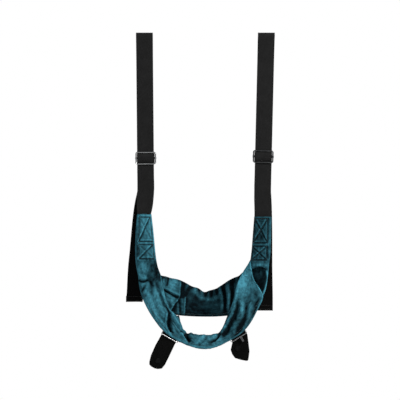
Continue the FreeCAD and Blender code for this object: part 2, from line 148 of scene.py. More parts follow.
def spline(points, t):
    """The natural cubic spline through points at each t, which counts the points from 0."""
    knots = np.array(points, float)
    count = len(knots)
    system = np.eye(count)
    right = np.zeros_like(knots)
    for i in range(1, count - 1):
        system[i, i - 1:i + 2] = (1, 4, 1)
        right[i] = 6 * (knots[i - 1] - 2 * knots[i] + knots[i + 1])
    bend = np.linalg.solve(system, right)
    i = np.clip(t.astype(int), 0, count - 2)
    after = (t - i)[:, None]
    before = 1 - after
    straight = before * knots[i] + after * knots[i + 1]
    return straight + ((before ** 3 - before) * bend[i] + (after ** 3 - after) * bend[i + 1]) / 6


def lengths(line):
    """How far along the line each of its points is."""
    return np.concatenate([[0], np.cumsum(np.linalg.norm(np.diff(line, axis=0), axis=1))])


def even(points, step):
    """The spline's parameters that are evenly spaced along it, about step apart."""
    fine = np.linspace(0, len(points) - 1, 3000)
    along = lengths(spline(points, fine))
    count = max(3, round(along[-1] / step) + 1)
    return np.interp(np.linspace(0, along[-1], count), along, fine)


def unit(vectors):
    return vectors / np.maximum(np.linalg.norm(vectors, axis=-1, keepdims=True), 1e-12)


def ease(x, low, high):
    """0 below low, 1 above high, and smooth between them."""
    t = np.clip((x - low) / (high - low), 0, 1)
    return t * t * (3 - 2 * t)


def rough(points, scale, seed):
    """Smooth noise from about -1 to 1 at each point; scale is the size of its bumps along each axis."""
    shift = Vector((seed * 7.31, seed * 3.17, seed * 5.73))
    scaled = np.asarray(points, float) / np.array(scale, float)
    return np.array([noise.noise(Vector(point) + shift) for point in scaled])


def mesh_object(name, points, faces, material, cloth=None, pile_and_painted_light=None):
    """A smooth shaded object; cloth is each point's place on the flat cloth (mm), and the last argument
    how light its pile is, painted highlight and painted shade included.
    """
    mesh = bpy.data.meshes.new(name)
    mesh.from_pydata(((np.asarray(points) + UP * LIFT) * MM).tolist(), [], faces)
    shape = bmesh.new()
    shape.from_mesh(mesh)
    bmesh.ops.recalc_face_normals(shape, faces=shape.faces)
    shape.to_mesh(mesh)
    shape.free()
    mesh.polygons.foreach_set("use_smooth", [True] * len(mesh.polygons))
    if cloth is not None:
        layer = mesh.attributes.new("cloth", "FLOAT_VECTOR", "POINT")
        layer.data.foreach_set("vector", np.asarray(cloth, np.float32).ravel())
    if pile_and_painted_light is not None:
        layer = mesh.attributes.new("pile_and_painted_light", "FLOAT", "POINT")
        layer.data.foreach_set("value", np.asarray(pile_and_painted_light, np.float32))
    obj = bpy.data.objects.new(name, mesh)
    bpy.context.scene.collection.objects.link(obj)
    mesh.materials.append(material)
    return obj


def tube_faces(rings, size):
    """The faces of a closed tube of rings of points, with each end closed by strips between its two sides."""
    faces = []
    for i in range(rings - 1):
        for j in range(size):
            k = (j + 1) % size
            faces.append((i * size + j, i * size + k, (i + 1) * size + k, (i + 1) * size + j))
    half = size // 2
    for start in (0, (rings - 1) * size):
        for j in range(half - 1):
            faces.append((start + j, start + j + 1, start + size - 2 - j, start + size - 1 - j))
    return faces


def ribbon(name, line, across, left, right, material, rib=0.12):
    """Webbing along line, from left to right of it (mm along across), with fine ribs and thick selvedges."""
    line = np.asarray(line, float)
    count = len(line)
    left = np.broadcast_to(left, count)
    right = np.broadcast_to(right, count)
    along = unit(np.gradient(line, axis=0))
    across = unit(across - along * (across * along).sum(1, keepdims=True))
    face = np.cross(along, across)
    share = np.linspace(0, 1, WEB_COLUMNS)
    edge = np.minimum(share, 1 - share)
    height = WEB_T / 2 - rib * (0.5 + 0.5 * np.cos(share * 2 * math.pi * RIBS)) * ease(edge, 0.01, 0.04)
    height = height + SELVEDGE * (1 - ease(edge, 0.02, 0.045))
    height = height * np.sqrt(np.clip(edge / 0.012, 0.12, 1))
    s = lengths(line)
    a = left[:, None] + (right - left)[:, None] * share
    front = line[:, None] + across[:, None] * a[..., None] + face[:, None] * height[:, None]
    back = line[:, None] + across[:, None] * a[..., None] - face[:, None] * height[:, None]
    points = np.concatenate([front, back[:, ::-1]], axis=1)
    flat = np.stack([a, np.broadcast_to(s[:, None], a.shape), np.zeros_like(a)], axis=2)
    flat = np.concatenate([flat, flat[:, ::-1]], axis=1)
    size = points.shape[1]
    return mesh_object(name, points.reshape(-1, 3), tube_faces(count, size), material, flat.reshape(-1, 3))


# ---- materials ----

def value(tree, kind, a, b=None):
    """A maths node; a and b are sockets or numbers."""
    node = tree.nodes.new("ShaderNodeMath")
    node.operation = kind
    for socket, given in zip(node.inputs, (a, b)):
        if isinstance(given, bpy.types.NodeSocket):
            tree.links.new(given, socket)
        elif given is not None:
            socket.default_value = given
    return node.outputs[0]


def blend_colours(tree, factor, dark, light):
    node = tree.nodes.new("ShaderNodeMix")
    node.data_type = "RGBA"
    tree.links.new(factor, node.inputs[0])
    node.inputs[6].default_value = (*dark, 1)
    node.inputs[7].default_value = (*light, 1)
    return node.outputs[2]


def noise_socket(tree, vector, scale, detail=3.0):
    node = tree.nodes.new("ShaderNodeTexNoise")
    node.inputs["Scale"].default_value = scale
    node.inputs["Detail"].default_value = detail
    tree.links.new(vector, node.inputs["Vector"])
    return node.outputs["Fac"]


def named(tree, name, output):
    node = tree.nodes.new("ShaderNodeAttribute")
    node.attribute_name = name
    return node.outputs[output]


def ranged(tree, socket, low, high, to_low, to_high):
    node = tree.nodes.new("ShaderNodeMapRange")
    tree.links.new(socket, node.inputs[0])
    for place, number in enumerate((low, high, to_low, to_high), start=1):
        node.inputs[place].default_value = number
    return node.outputs[0]


def bump(tree, shader, height, distance, strength=1.0):
    node = tree.nodes.new("ShaderNodeBump")
    node.inputs["Strength"].default_value = strength
    node.inputs["Distance"].default_value = distance
    tree.links.new(height, node.inputs["Height"])
    tree.links.new(node.outputs[0], shader.inputs["Normal"])


def new_material(name, **sockets):
    """A principled material; sockets are its plain values, with _ for a space."""
    material = bpy.data.materials.new(name)
    material.use_nodes = True
    shader = material.node_tree.nodes["Principled BSDF"]
    for socket, number in sockets.items():
        shader.inputs[socket.replace("_", " ")].default_value = number
    return material, material.node_tree, shader


def object_coordinates(tree):
    return tree.nodes.new("ShaderNodeTexCoord").outputs["Object"]


def webbing_material(name, dark, light, specular):
    """Webbing: columns of warp, each crossed by the weft half a stitch from its neighbours."""
    material, tree, shader = new_material(name, Roughness=0.72, Specular_IOR_Level=specular)
    split = tree.nodes.new("ShaderNodeSeparateXYZ")
    tree.links.new(named(tree, "cloth", "Vector"), split.inputs[0])
    column = value(tree, "DIVIDE", split.outputs[0], WARP_PITCH)
    half_turn = value(tree, "MULTIPLY", value(tree, "FLOOR", column), math.pi)
    along = value(tree, "MULTIPLY", split.outputs[1], 2 * math.pi / WEFT_PITCH)
    weft = value(tree, "SINE", value(tree, "ADD", along, half_turn))
    warp = value(tree, "ABSOLUTE", value(tree, "SINE", value(tree, "MULTIPLY", column, math.pi)))
    height = value(tree, "MULTIPLY", warp, value(tree, "ADD", value(tree, "MULTIPLY", weft, 0.3), 0.7))
    worn = noise_socket(tree, object_coordinates(tree), 60.0)
    level = value(tree, "MULTIPLY", height, ranged(tree, worn, 0.3, 0.7, 0.55, 1.0))
    tree.links.new(blend_colours(tree, level, dark, light), shader.inputs["Base Color"])
    bump(tree, shader, height, 0.0004)
    return material


def velvet_material(name, dark, light, sheen):
    """Velvet: an attribute gives how light the pile lies, with painted highlight and painted shade in it;
    noise mottles and streaks the pile.
    """
    material, tree, shader = new_material(
        name, Roughness=0.85, Sheen_Weight=sheen, Sheen_Roughness=0.32, Sheen_Tint=(0.12, 0.62, 0.80, 1),
        Specular_IOR_Level=0.06)
    where = object_coordinates(tree)
    mottle = noise_socket(tree, where, 130.0, 5.0)
    squeeze = tree.nodes.new("ShaderNodeMapping")
    squeeze.inputs["Scale"].default_value = (0.5, 0.06, 1.0)
    tree.links.new(named(tree, "cloth", "Vector"), squeeze.inputs["Vector"])
    streak = noise_socket(tree, squeeze.outputs[0], 0.55, 3.0)
    pile = noise_socket(tree, where, 1500.0, 2.0)
    patches = ranged(tree, mottle, 0.3, 0.7, -0.17, 0.17)
    streaks = ranged(tree, streak, 0.3, 0.7, -0.10, 0.10)
    lift = value(tree, "ADD", patches, streaks)
    lift = value(tree, "ADD", lift, ranged(tree, pile, 0.3, 0.7, -0.06, 0.06))
    pile_and_painted_light = named(tree, "pile_and_painted_light", "Fac")
    lift = value(tree, "MULTIPLY", lift, value(tree, "ADD", value(tree, "MULTIPLY", pile_and_painted_light, 2.2), 0.10))
    factor = ranged(tree, value(tree, "ADD", pile_and_painted_light, lift), 0.0, 1.0, 0.0, 1.0)
    tree.links.new(blend_colours(tree, factor, dark, light), shader.inputs["Base Color"])
    bump(tree, shader, pile, 0.0004, 0.6)
    return material


def thread_material(name, dark, light):
    """Twisted thread, with the strands shown by a fine wave across it."""
    material, tree, shader = new_material(name, Roughness=0.6, Sheen_Weight=0.2)
    wave = tree.nodes.new("ShaderNodeTexWave")
    wave.inputs["Scale"].default_value = 1200.0
    wave.inputs["Distortion"].default_value = 1.5
    tree.links.new(object_coordinates(tree), wave.inputs["Vector"])
    tree.links.new(blend_colours(tree, wave.outputs["Fac"], dark, light), shader.inputs["Base Color"])
    bump(tree, shader, wave.outputs["Fac"], 0.0001)
    return material


def metal_material(name, dark, light, roughness):
    """Plated metal with faint handling marks and a slightly uneven polish."""
    material, tree, shader = new_material(name, Metallic=1.0)
    where = object_coordinates(tree)
    cloud = noise_socket(tree, where, 140.0, 5.0)
    fine = noise_socket(tree, where, 2600.0, 2.0)
    tree.links.new(blend_colours(tree, cloud, dark, light), shader.inputs["Base Color"])
    polish = ranged(tree, cloud, 0.3, 0.7, roughness * 0.7, roughness * 1.4)
    tree.links.new(polish, shader.inputs["Roughness"])
    bump(tree, shader, fine, 0.00003, 0.5)
    return material


WEBBING = webbing_material("webbing", (0.0026, 0.0026, 0.0027), (0.016, 0.016, 0.0165), 0.2)
# The same webbing as above, darkened as painted shade, for the tails, leg straps and leg tabs.
WEBBING_PAINTED_SHADE = webbing_material("webbing_painted_shade", (0.0008, 0.0008, 0.0008), (0.005, 0.005, 0.005), 0.06)
VELVET = velvet_material("velvet", (0.0004, 0.003, 0.005), (0.068, 0.29, 0.385), 0.07)
TEAL_THREAD = thread_material("velvet_thread", (0.006, 0.032, 0.042), (0.02, 0.075, 0.095))
BLACK_THREAD = thread_material("webbing_thread", (0.002, 0.002, 0.002), (0.009, 0.009, 0.0095))
# One gunmetal for both sliders in two colours: lighter as a painted reflection on the left, darker as painted
# shade on the right.
GUNMETAL_PAINTED_REFLECTION = metal_material("gunmetal", (0.30, 0.305, 0.31), (0.52, 0.525, 0.53), 0.24)
GUNMETAL_PAINTED_SHADE = metal_material("gunmetal_painted_shade", (0.045, 0.047, 0.05), (0.12, 0.122, 0.126), 0.34)
STEEL = metal_material("bright_steel", (0.26, 0.26, 0.265), (0.46, 0.46, 0.47), 0.32)
SNAP_METAL = metal_material("snap_metal", (0.008, 0.008, 0.0085), (0.022, 0.022, 0.023), 0.42)


# ---- threads ----

def stitch_run(surface, corners):
    """Stitches along straight rows between corners (x, z), laid on the front of a surface."""
    front = Vector((0, -1, 0))
    margin = STITCH_GAP / STITCH_PITCH / 2
    made = []
    for (x0, z0), (x1, z1) in zip(corners, corners[1:]):
        length = math.hypot(x1 - x0, z1 - z0)
        count = max(1, round(length / STITCH_PITCH))
        for k in range(count):
            ends = []
            for share in ((k + margin) / count, (k + 1 - margin) / count):
                place = Vector((x0 + (x1 - x0) * share, 0, z0 + (z1 - z0) * share + LIFT)) * MM
                hit, normal, _, _ = surface.ray_cast(place + front * RAY_START, -front)
                if hit:
                    ends.append((np.array(hit) / MM - UP * LIFT, np.array(normal)))
            if len(ends) == 2 and np.linalg.norm(ends[0][0] - ends[1][0]) < 3 * STITCH_PITCH:
                made.append(ends)
    return made


def stitches(name, made, material):
    """One object of many stitches, each a thin rounded pill that dips into the cloth at both ends."""
    points, faces = [], []
    sides = 6
    last = len(STITCH_RINGS) - 1
    for (a, normal_a), (b, normal_b) in made:
        out = unit(normal_a + normal_b)
        if out[1] > 0:
            out = -out
        along = unit(b - a)
        side = np.cross(along, out)
        base = len(points)
        for share, lift, size in STITCH_RINGS:
            centre = a + (b - a) * share + out * lift
            for k in range(sides):
                turn = 2 * math.pi * k / sides
                points.append(centre + (side * math.cos(turn) + out * math.sin(turn) * 0.8) * THREAD_R * size)
        for ring in range(last):
            for k in range(sides):
                n = (k + 1) % sides
                row = base + ring * sides
                faces.append((row + k, row + n, row + sides + n, row + sides + k))
        faces.append(tuple(base + k for k in range(sides)))
        faces.append(tuple(base + last * sides + k for k in range(sides)))
    return mesh_object(name, points, faces, material)


def tree_of(obj):
    """A ray-castable copy of an object's mesh, in metres."""
    mesh = obj.data
    return BVHTree.FromPolygons([v.co for v in mesh.vertices], [tuple(p.vertices) for p in mesh.polygons])


# ---- handle straps, sliders and tails ----

def across_at(angle):
    """Directions across webbing that is turned by each angle (degrees) about the vertical."""
    turn = np.radians(angle)
    return np.stack([np.cos(turn), np.sin(turn), np.zeros_like(turn)], axis=1)


def slope_of(side):
    """How far a handle strap moves across for each millimetre of height."""
    return (side["low_x"] - side["top_x"]) / HINGE_Z


def handle_strap(name, side):
    """Up the front from inside the side tab, over the bar, and down the rear to the slider."""
    run = np.array(side["front_run"][::-1], float)
    t = even(run[:, :2], ROW_STEP)
    low = spline(run, t)
    slope = slope_of(side)
    heights = np.arange(STRAP_END_Z + ROW_STEP, JOIN_Z, ROW_STEP)
    fold_y = HANG_R + WEB_T / 2
    opening = np.arange(JOIN_Z, HANG_Z, 3.0)
    spread = LAYER_Y + (fold_y - LAYER_Y) * (opening - JOIN_Z) / (HANG_Z - JOIN_Z)
    rows = [(x, -LAYER_Y, z, width, angle) for z, x, width, angle in low]
    rows += [(side["top_x"] - slope * -z, -LAYER_Y, z, WEB_W, 0) for z in heights]
    rows += [(side["top_x"] - slope * -z, -y, z, WEB_W, 0) for z, y in zip(opening, spread)]
    for turn in np.linspace(-90, 90, 19):
        y, z = fold_y * math.sin(math.radians(turn)), fold_y * math.cos(math.radians(turn))
        rows.append((side["top_x"], y, z - LIFT, WEB_W, 0))
    rows += [(side["top_x"] - slope * -z, y, z, WEB_W, 0) for z, y in zip(opening[::-1], spread[::-1])]
    rows += [(side["top_x"] - slope * -z, LAYER_Y, z, WEB_W, 0) for z in heights[::-1]]
    rows.append((side["tail"][0][0], LAYER_Y, STRAP_END_Z, WEB_W, 0))
    rows = np.array(rows)
    line = rows[:, :3]
    half = rows[:, 3] / 2
    obj = ribbon(name + "_handle_webbing", line, across_at(rows[:, 4]), -half, half, WEBBING)
    length = float(lengths(line)[-1])
    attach(obj, "sling")
    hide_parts(name + "_handle_strap")


def tail(name, side):
    """The rear run below the slider and the loose end, with its end folded forwards into a stitched hem."""
    points = np.array(side["tail"], float)
    line = spline(points, even(points, ROW_STEP))
    turn = np.interp(-line[:, 2], TURN_DROPS, side["tail_turn"])
    end = line[-1]
    radius = WEB_T * 0.62
    hem = [end + (0, radius * (1 - math.cos(a)), -radius * math.sin(a)) for a in np.linspace(0.3, math.pi, 6)]
    hem += [end + (0, 2 * radius, z) for z in (3, 6, 9, 12)]
    line = np.concatenate([line, hem])
    turn = np.concatenate([turn, np.full(len(hem), turn[-1])])
    obj = ribbon(name + "_tail_webbing", line, across_at(turn), -WEB_W / 2, WEB_W / 2, WEBBING_PAINTED_SHADE)
    length = float(lengths(line)[-1])
    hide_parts(name + "_strap_tail")
    round_box = ((-1, 0), (1, 0), (1, 1), (-1, 1), (-1, 0))
    box = [(end[0] + hand * HEM_HALF_W, end[2] + HEM_ROWS[row]) for hand, row in round_box]
    sewn = stitches(name + "_tail_hem_thread", stitch_run(tree_of(obj), box), BLACK_THREAD)
    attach(sewn, name + "_tail")
    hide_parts(name + "_tail_hem_stitching")
    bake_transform(obj)


def slider_hump(name, side):
    """The webbing that bulges over the slider's bar, between the rails of its frame."""
    x, z = side["slider"]
    slope = slope_of(side)
    share = np.linspace(-1, 1, 25)
    rise = HUMP_RISE * (1 - np.abs(share) ** 2.6)
    line = np.stack([x + slope * share * HUMP_HALF, -(HUMP_Y + rise), z + share * HUMP_HALF], axis=1)
    across = np.broadcast_to(np.array([1.0, 0, 0]), line.shape)
    obj = ribbon(name + "_slider_webbing", line, across, -HUMP_W / 2, HUMP_W / 2, WEBBING)
    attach(obj, name + "_slider")
    float(lengths(line)[-1]) * MM


# ---- velvet bands ----

def segment_distance(points, a, b):
    """How far each 2-D point is from a segment, how far along it (0 to 1), and on which side."""
    d = b - a
    along = np.clip((points - a) @ d / (d @ d), 0, 1)
    gap = points - a - along[:, None] * d
    side = np.sign(d[0] * gap[:, 1] - d[1] * gap[:, 0])
    return np.linalg.norm(gap, axis=1), along, side


def stroke_distance(points, stroke):
    """The same for a curved stroke through a few points."""
    stroke = spline(stroke, np.linspace(0, len(stroke) - 1, 8 * (len(stroke) - 1) + 1))
    best = np.full(len(points), 1e9)
    along = np.zeros(len(points))
    side = np.zeros(len(points))
    count = len(stroke) - 1
    for k in range(count):
        far, part, hand = segment_distance(points, stroke[k], stroke[k + 1])
        nearer = far < best
        best = np.where(nearer, far, best)
        along = np.where(nearer, (k + part) / count, along)
        side = np.where(nearer, hand, side)
    return best, along, side


def faded(points, strokes, ends):
    """Each stroke's amount, width, distances and sides, and how it fades over a share of either end."""
    for amount, width, stroke in strokes:
        far, along, side = stroke_distance(points, stroke)
        yield amount, width, far, side, ease(along, 0, ends) * (1 - ease(along, 1 - ends, 1))


def creases(points, strokes):
    """How far strokes push the cloth in (mm)."""
    total = np.zeros(len(points))
    for depth, width, far, _, fade in faded(points, strokes, 0.22):
        total -= depth * np.exp(-(far / width) ** 2) * fade
        total += 0.45 * depth * np.exp(-((far - 2.1 * width) / width) ** 2) * fade
    return total


def painted_light_lines(points, strokes):
    """Lighter and darker lines in the pile: painted highlight along hems and rims, painted shade beside
    folds.
    """
    total = np.zeros(len(points))
    for amount, width, far, _, fade in faded(points, strokes, 0.12):
        total += amount * np.exp(-(far / width) ** 2) * fade
    return total


def crease_shade_and_highlight(points, strokes):
    """How much darker the pile is painted in creases as shade, and (negative) how much lighter beside them as
    painted highlight.
    """
    total = np.zeros(len(points))
    for depth, width, far, _, fade in faded(points, strokes, 0.18):
        crushed_and_shaded = 0.42 * np.exp(-(far / (0.85 * width)) ** 2)
        ridge_highlight = 0.26 * np.exp(-((far - 1.9 * width) / width) ** 2)
        total += fade * min(1, depth / 4.5) * (crushed_and_shaded - ridge_highlight)
    return total


def fold_highlight_and_shadow(points, strokes):
    """Painted highlight along a folded edge, and painted shadow where the fold shades the cloth."""
    total = np.zeros(len(points))
    for height, width, far, side, fade in faded(points, strokes, 0.1):
        shadow = -0.5 * np.exp(-(far / (0.5 * width)) ** 2)
        total += fade * min(1, height / 4) * np.where(side > 0, 0.4 * np.exp(-(far / 2.2) ** 2), shadow)
    return total


def flaps(points, strokes):
    """Folded edges: cloth on the left of a stroke stands proud by a height that dies away over a width."""
    total = np.zeros(len(points))
    for height, width, far, side, fade in faded(points, strokes, 0.15):
        reach = np.where(side > 0, np.exp(-(far / width) ** 2), np.exp(-(far / 1.2) ** 2))
        total += height * reach * fade
    return total


def painted(points, base, spots):
    """Base plus soft spots of lighter and darker pile, which are partly painted highlight and painted shade.
    """
    total = np.full(len(points), base, float)
    for amount, x, z, rx, rz in spots:
        total += amount * np.exp(-((points[:, 0] - x) / rx) ** 2 - ((points[:, 1] - z) / rz) ** 2)
    return np.clip(total, 0, 1)


class Shell:
    """A closed padded sheet between two edges, lists of (x, y, z); depths are its front and back swell."""

    def __init__(self, inner, outer, depths, bow=0.0):
        inner, outer, depths = (np.array(given, float) for given in (inner, outer, depths))
        t = even((inner + outer) / 2, SHELL_STEP)
        inner, outer = spline(inner, t), spline(outer, t)
        places = np.arange(len(depths))
        front_depth = np.interp(t, places, depths[:, 0])[:, None]
        back_depth = np.interp(t, places, depths[:, 1])[:, None]
        self.v = 0.5 - 0.5 * np.cos(np.linspace(0, math.pi, SHELL_ROWS))
        self.centre = (inner + outer) / 2
        across = unit(inner - outer)
        along = unit(np.gradient(self.centre, axis=0))
        normal = unit(np.cross(across, along))
        self.normal = np.where(normal[:, 1:2] > 0, -normal, normal)
        self.s = lengths(self.centre)
        self.width = np.linalg.norm(inner - outer, axis=1)
        round_share = np.abs(2 * self.v - 1)
        crown = np.clip(1 - round_share ** 2.6, 0, 1) ** 0.5
        base = outer[:, None] + (inner - outer)[:, None] * self.v[:, None]
        lift = bow * (1 - round_share ** 2)[None, :] * np.ones((len(t), 1))
        self.front = base + self.normal[:, None] * (lift + front_depth * crown)[..., None]
        self.back = base + self.normal[:, None] * (lift - back_depth * crown)[..., None]
        self.inside = np.clip(crown, 0, 1)

    def seen(self):
        """Each point of the front as (x, z)."""
        return self.front[..., [0, 2]].reshape(-1, 2)

    def push(self, height, side="front"):
        """Move a face along its normal by a height at each point, less near the edges."""
        shape = self.front.shape[:2]
        moved = height.reshape(shape) * (0.15 + 0.85 * self.inside[None, :])
        face = getattr(self, side)
        out = self.normal if side == "front" else -self.normal
        setattr(self, side, face + out[:, None] * moved[..., None])

    def flat(self):
        """Each point of a face on the flat cloth: across and along."""
        a = (self.v[None, :] - 0.5) * self.width[:, None]
        return np.stack([a, np.broadcast_to(self.s[:, None], a.shape), np.zeros_like(a)], axis=2)

    def edges(self, reach):
        """1 at either edge of a face, dying away over reach."""
        near = np.minimum(self.v, 1 - self.v)[None, :] * self.width[:, None]
        return np.exp(-(near / reach) ** 2).ravel()

    def mottle(self, seed):
        """Patches of pile brushed this way and that, longer along the band than across it."""
        flat = self.flat().reshape(-1, 3)
        fine = crossing(flat, seed + 2)
        broad = 0.6 * rough(flat, (16, 34, 1), seed)
        return broad + 0.4 * rough(flat, (5, 12, 1), seed + 1) + 0.3 * (fine - 0.5)

    def build(self, name, front_pile_and_painted_light, nap_back, material):
        """The object of both faces, with the lightness of the pile at each point, painted highlight and
        painted shade included.
        """
        rings, rows = self.front.shape[:2]
        points = np.concatenate([self.front, self.back[:, ::-1]], axis=1)
        flat = np.concatenate([self.flat(), self.flat()[:, ::-1]], axis=1)
        pile_and_painted_light = np.concatenate([front_pile_and_painted_light.reshape(rings, rows), nap_back.reshape(rings, rows)[:, ::-1]], axis=1)
        faces = tube_faces(rings, 2 * rows)
        return mesh_object(name, points.reshape(-1, 3), faces, material, flat.reshape(-1, 3), pile_and_painted_light.ravel())

    def held(self, sewn):
        """How firmly each point is held while the mesh crumples: at its edges, its ends and where sewn."""
        rings, rows = self.front.shape[:2]
        edge = self.edges(2.5).reshape(rings, rows)
        firm = np.clip(edge + sewn.reshape(rings, rows), 0, 1)
        firm[:2] = firm[-2:] = 1
        return np.concatenate([firm, edge[:, ::-1]], axis=1).ravel()


def crumple(obj, held, pressure, growth, cap):
    """Let velvet grow while its seams hold it, so that it buckles; no point moves more than cap (mm)."""
    group = obj.vertex_groups.new(name="held")
    for index, weight in enumerate(held):
        if weight > 0.02:
            group.add([index], float(weight), "REPLACE")
    cloth = obj.modifiers.new("cloth", "CLOTH")
    cloth.point_cache.frame_start, cloth.point_cache.frame_end = 1, SIM_FRAMES
    rules = cloth.settings
    rules.quality = 4
    rules.mass = 0.15
    rules.tension_stiffness = rules.compression_stiffness = 12
    rules.shear_stiffness = 4
    rules.bending_stiffness = 0.6
    rules.vertex_group_mass = "held"
    rules.shrink_min = -growth
    rules.use_pressure = True
    rules.uniform_pressure_force = pressure
    rules.effector_weights.gravity = 0
    cloth.collision_settings.use_collision = False
    for step in range(1, SIM_FRAMES + 1):
        bpy.context.scene.frame_set(step)
    result = obj.evaluated_get(bpy.context.evaluated_depsgraph_get()).data
    count = len(obj.data.vertices)
    old, new = np.empty(3 * count), np.empty(3 * count)
    obj.data.vertices.foreach_get("co", old)
    result.vertices.foreach_get("co", new)
    obj.modifiers.remove(cloth)
    obj.vertex_groups.remove(group)
    bpy.context.scene.frame_set(1)
    move = (new - old).reshape(-1, 3)
    far = np.linalg.norm(move, axis=1, keepdims=True)
    limit = cap * MM
    move *= limit * np.tanh(far / limit) / np.maximum(far, 1e-9)
    obj.data.vertices.foreach_set("co", old + move.ravel())
    obj.data.update()
    finer = obj.modifiers.new("finer", "SUBSURF")
    finer.levels = finer.render_levels = 1


def swell(obj, node, height, facing):
    """Raise the velvet round a node by height (mm), or press it in.

    facing is 1 for the rear face and -1 for the front.
    """
    low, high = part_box(node)
    mesh = obj.data
    points, normals = np.empty(3 * len(mesh.vertices)), np.empty(3 * len(mesh.vertices))
    mesh.vertices.foreach_get("co", points)
    mesh.vertices.foreach_get("normal", normals)
    points, normals = points.reshape(-1, 3), normals.reshape(-1, 3)
    far = np.linalg.norm(points - np.array((low + high) / 2), axis=1)
    share = np.exp(-(far / (SNAP_REACH * MM)) ** 2) * (normals[:, 1] * facing > 0.2)
    points += normals * (share * height * MM)[:, None]
    mesh.vertices.foreach_set("co", points.ravel())
    mesh.update()


# Creases, strokes and flaps are (amount, width, points seen from the front); spots are (amount, x, z, half
# width, half height). Spots, strokes, creases and flaps also set painted highlight and painted shade in the
# pile's lightness.
FRONT_INNER = [
    (-122.5, 4, -412), (-118, 3, -450), (-114.5, -0.5, -485), (-111.5, -3, -512), (-106.5, -6, -535),
    (-100, -8, -553), (-93, -15, -588), (-81, -24, -626), (-65, -28, -641), (-53.5, -31, -662),
    (-41, -34, -680), (3, -36, -685), (33, -34, -677), (49, -30, -642), (62, -24, -610), (71, -15, -573),
    (84, -8, -545), (95.5, -6.5, -527), (101, -4.5, -517),
]
FRONT_OUTER = [
    (-154.5, -8.5, -412), (-157.6, -6, -450), (-159, -4, -485), (-158.6, -3.4, -512), (-156, -5, -535),
    (-152, -8, -555), (-146, -20, -590), (-127, -42, -630), (-111, -53, -653), (-93, -63, -673),
    (-54, -76, -697), (-1, -82, -711), (46, -76, -697), (91, -60, -668), (119, -38, -624),
    (130, -21, -595), (114, -15, -567), (106, -9, -545), (102.5, -5, -521),
]
FRONT_DEPTHS = [
    (3.4, -0.6), (3.6, -0.6), (3.8, -0.5), (4, 0.2), (5, 1.5), (6, 3), (6.5, 4), (6.5, 4), (6.5, 4),
    (6, 4), (6, 4), (6, 4), (6, 4), (6.5, 4), (6, 3), (4, 2), (2.8, 1.5), (2, 1.2), (1.2, 0.8),
]
FRONT_CREASES = [
    (4.5, 3.5, [(-154, -560), (-142, -564), (-129, -559)]),
    (3.0, 3.0, [(-133, -564), (-139, -578), (-146, -590)]),
    (2.2, 4.5, [(-127, -570), (-118, -600), (-102, -632), (-82, -663), (-57, -690)]),
    (2.5, 4.0, [(-110, -560), (-104, -590), (-92, -622), (-80, -645)]),
    (5.5, 3.0, [(-78, -630), (-82, -646), (-80, -664), (-70, -678)]),
    (4.5, 2.6, [(-92, -612), (-80, -636), (-64, -660), (-46, -682), (-34, -696)]),
    (6.0, 4.0, [(-40, -674), (-40, -686), (-33, -698)]),
    (2.4, 3.0, [(6, -684), (-4, -694), (-18, -706)]),
    (2.6, 3.0, [(38, -676), (24, -688), (8, -700)]),
    (3.0, 3.2, [(54, -630), (45, -652), (31, -678), (15, -697)]),
    (3.2, 4.0, [(74, -598), (70, -630), (56, -662), (35, -690)]),
    (2.8, 4.0, [(94, -602), (90, -636), (78, -666), (60, -688)]),
    (1.8, 5.0, [(114, -580), (114, -614), (102, -646)]),
]
FRONT_STROKES = [
    (0.75, 1.7, [(101.5, -517), (104, -535), (108, -549), (113.5, -562), (120, -576), (132, -597)]),
    (0.30, 2.0, [(99, -516), (85.5, -543), (70.5, -573), (62, -609), (52, -632), (44, -655)]),
    (-0.50, 2.4, [(-86, -622), (-80, -642), (-73, -660), (-56, -680)]),
    (0.28, 2.4, [(-77, -632), (-68, -652), (-52, -675)]),
    (-0.30, 1.6, [(-151, -416), (-153, -450), (-153.5, -485), (-152.5, -516)]),
    (0.22, 1.8, [(86, -606), (84, -625), (82, -643)]),
    (-0.35, 3.0, [(70, -600), (66, -632), (50, -668), (30, -690)]),
]
FRONT_SPOTS = [
    (-0.50, -108, -522, 8, 20), (-0.42, -117, -556, 12, 20), (0.12, -143, -536, 8, 16),
    (-0.45, 92, -664, 17, 12), (-0.40, -36, -684, 8, 9), (-0.20, 112, -625, 14, 26),
    (-0.14, 70, -625, 12, 30), (0.22, -136, -450, 26, 50), (0.30, -144, -540, 12, 20),
    (-0.30, -116, -545, 14, 34),
    (0.26, -120, -618, 22, 40), (0.12, -76, -676, 24, 16), (-0.32, -79, -652, 7, 16),
    (-0.35, -36, -690, 9, 12), (0.22, -10, -692, 15, 12), (0.66, 84, -558, 17, 34),
    (0.34, 70, -596, 9, 34), (-0.12, -4, -700, 30, 10), (-0.10, -142, -540, 12, 20),
    (-0.12, -132, -590, 12, 16), (-0.22, 88, -664, 22, 26), (-0.12, 42, -655, 9, 22),
]

BACK_INNER = [
    (-123.5, 6, -412), (-117, 5, -470), (-114, 5, -520), (-106, 10, -548), (-87, 24, -555),
    (-58, 40, -565), (-24, 54, -580), (4, 60, -591), (34, 54, -577), (68, 40, -558), (86, 24, -545),
    (95, 9, -535), (102.5, 5, -515), (107, 3, -470), (111, 2, -418),
]
BACK_OUTER = [
    (-154.5, -6, -412), (-158, -2, -470), (-156.5, 4, -520), (-151, 6, -554), (-141, 10, -598),
    (-108, 26, -632), (-58, 42, -645), (-4, 48, -648), (45, 42, -646), (90, 28, -634), (128, 12, -604),
    (141, 6.5, -563), (145.5, 4, -515), (147.5, 2.5, -470), (149, 2, -418),
]
BACK_DEPTHS = [
    (0.2, 1.6), (0.2, 1.8), (0.4, 2.5), (2, 3), (5, 4), (6.5, 4), (6, 4), (5, 4), (5, 4), (6.5, 4), (6, 4),
    (2.5, 3), (1, 2.5), (0.4, 1.8), (0.2, 1.6),
]
